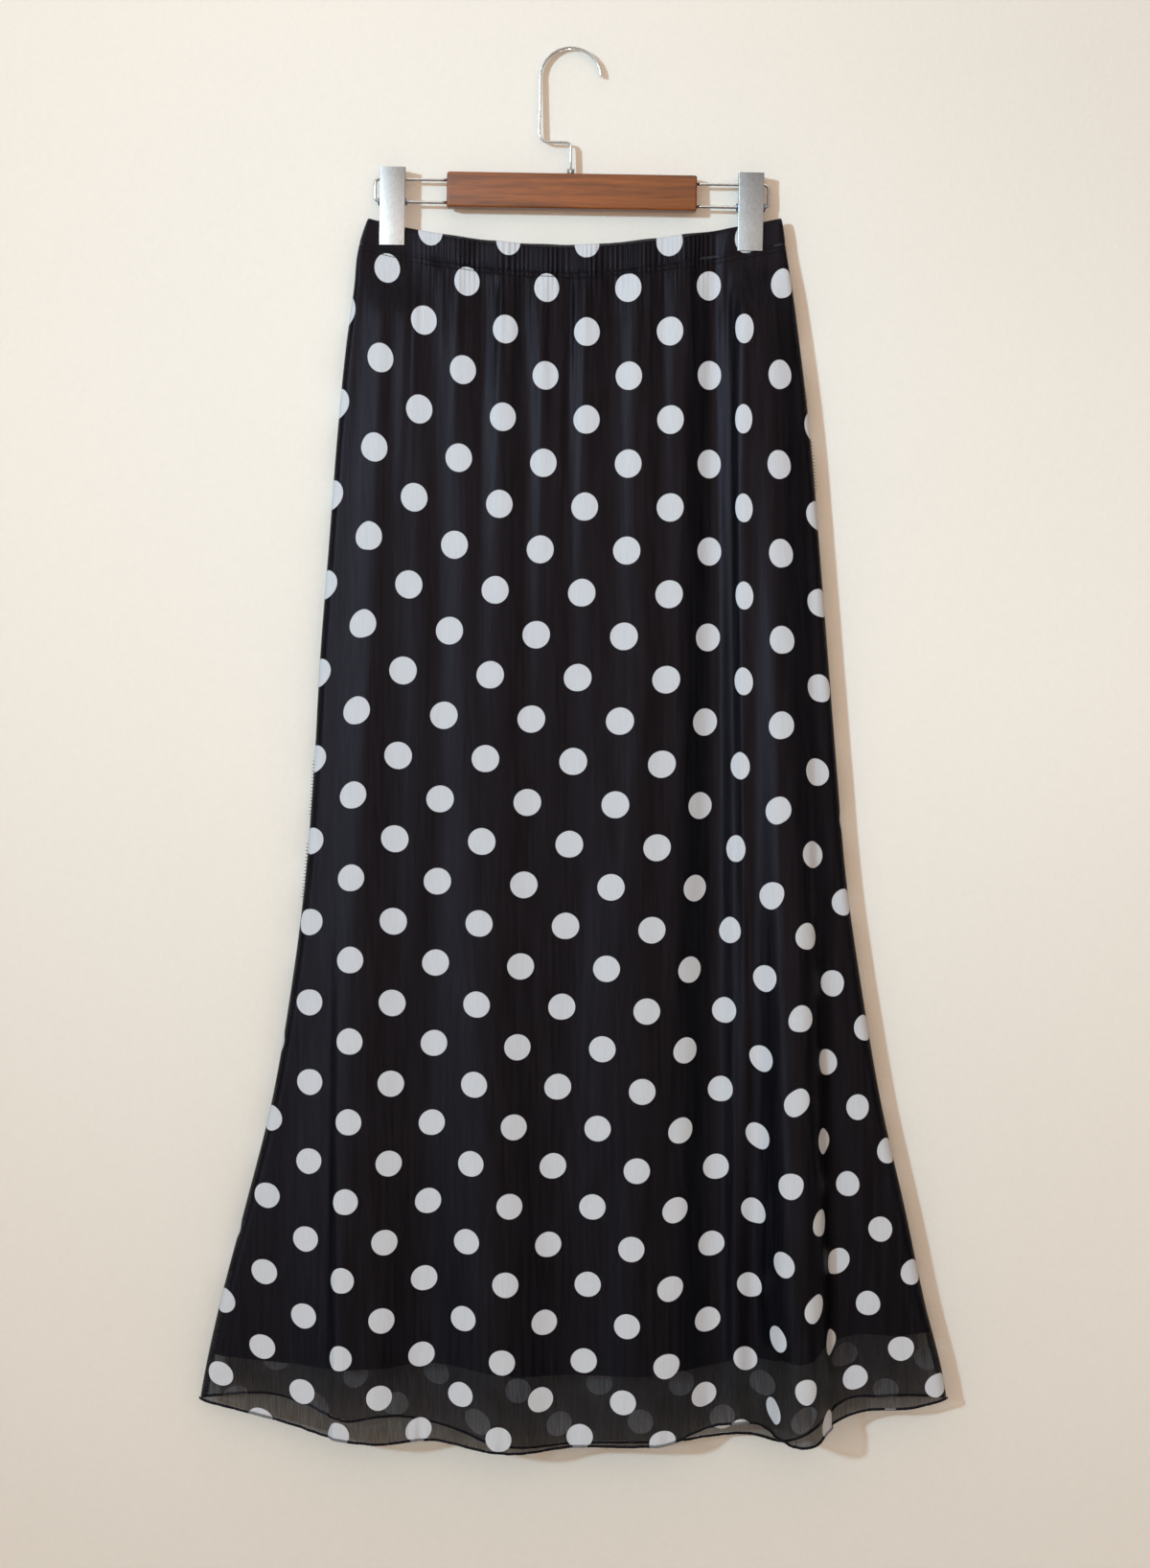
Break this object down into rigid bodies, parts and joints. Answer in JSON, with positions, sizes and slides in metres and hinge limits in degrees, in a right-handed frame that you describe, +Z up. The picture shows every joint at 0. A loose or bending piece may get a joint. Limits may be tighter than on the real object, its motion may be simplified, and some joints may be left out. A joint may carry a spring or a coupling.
{
  "type": "fishtail skirt on a clip hanger",
  "caption": "Long see-through dotted mesh skirt over a shorter black lining, gathered at an elastic waist and flared from the knee, hung by its waist from a wooden hanger with sliding clips.",
  "frame": {"origin": "underside of the crown of the hanger's hook, where the rail that holds it bears", "axes": "+Z up, +X to the right across the skirt's front, so the front faces -Y"},
  "size_m": [0.5839, 0.0586, 1.0963],
  "materials": {
    "dotted_mesh": "fine black stretch mesh, half see-through, printed with pale dots",
    "lining_knit": "matt black knit",
    "oiled_wood": "satin, straight grain along the bar",
    "bright_wire": "bright plated",
    "clip_steel": "satin plated sheet, brushed along its length",
    "blue_zinc": "blue passivated zinc"
  },
  "bodies": {
    "root": {"front_panel": "dotted_mesh", "back_panel": "dotted_mesh", "waist_casing": "dotted_mesh", "front_lining": "lining_knit", "back_lining": "lining_knit", "wood_bar": "oiled_wood", "hook_strip": "bright_wire", "hook_nut": "bright_wire", "rails_left": "bright_wire", "rails_right": "bright_wire", "clip_left_front_jaw": "clip_steel", "clip_left_back_jaw": "clip_steel", "clip_left_spring": "clip_steel", "clip_left_washer_inner": "blue_zinc", "clip_left_washer_outer": "blue_zinc", "clip_right_front_jaw": "clip_steel", "clip_right_back_jaw": "clip_steel", "clip_right_spring": "clip_steel", "clip_right_washer_inner": "blue_zinc", "clip_right_washer_outer": "blue_zinc"}
  },
  "joints": []
}
